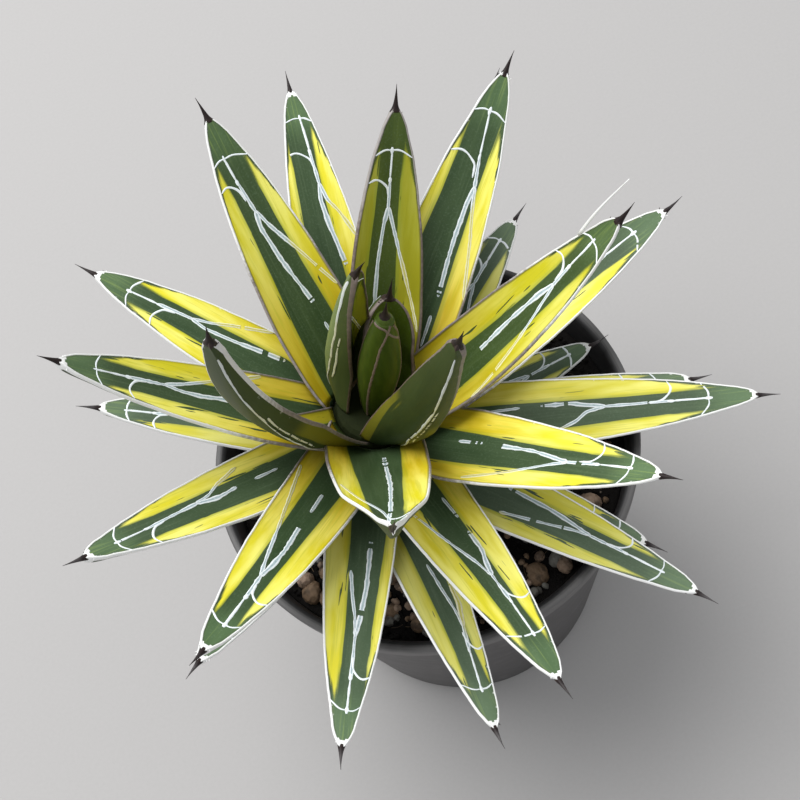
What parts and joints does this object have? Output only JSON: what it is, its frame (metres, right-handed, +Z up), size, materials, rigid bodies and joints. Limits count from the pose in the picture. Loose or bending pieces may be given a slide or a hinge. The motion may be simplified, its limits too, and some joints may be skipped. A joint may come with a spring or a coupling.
{
  "type": "potted agave",
  "caption": "Rosette succulent with stiff, keeled, spine-tipped leaves striped green and yellow, on a short leaning stem in a round plastic nursery pot of soil and gravel",
  "frame": {"origin": "the middle of the pot's flat foot, on the surface that it stands on", "axes": "+Z is up and is the pot's axis; +X is the side that the plant leans towards; -Y is the side that the picture was taken from"},
  "size_m": [0.1655, 0.1792, 0.2008],
  "materials": {
    "pot_plastic": "matt dark grey, lightly dusty",
    "soil_peat": "rough dark peat with grit",
    "stem_skin": "dry and fibrous",
    "bud_skin": "smooth, slightly waxy",
    "leaf_skin": "smooth, slightly waxy, dark green and yellow bands with white lines"
  },
  "bodies": {
    "root": {"pot": "pot_plastic", "soil": "soil_peat", "stem": "stem_skin", "central_bud": "bud_skin", "leaf_01": "leaf_skin", "leaf_02": "leaf_skin", "leaf_03": "leaf_skin", "leaf_04": "leaf_skin", "leaf_05": "leaf_skin", "leaf_06": "leaf_skin", "leaf_07": "leaf_skin", "leaf_08": "leaf_skin", "leaf_09": "leaf_skin", "leaf_10": "leaf_skin", "leaf_11": "leaf_skin", "leaf_12": "leaf_skin", "leaf_13": "leaf_skin", "leaf_14": "leaf_skin", "leaf_15": "leaf_skin", "leaf_16": "leaf_skin", "leaf_17": "leaf_skin", "leaf_18": "leaf_skin", "leaf_19": "leaf_skin", "leaf_20": "leaf_skin", "leaf_21": "leaf_skin", "leaf_22": "leaf_skin", "leaf_23": "leaf_skin", "leaf_24": "leaf_skin", "leaf_25": "leaf_skin", "leaf_26": "leaf_skin", "leaf_27": "leaf_skin", "leaf_28": "leaf_skin", "leaf_29": "leaf_skin", "leaf_30": "leaf_skin", "leaf_31": "leaf_skin"}
  },
  "joints": []
}
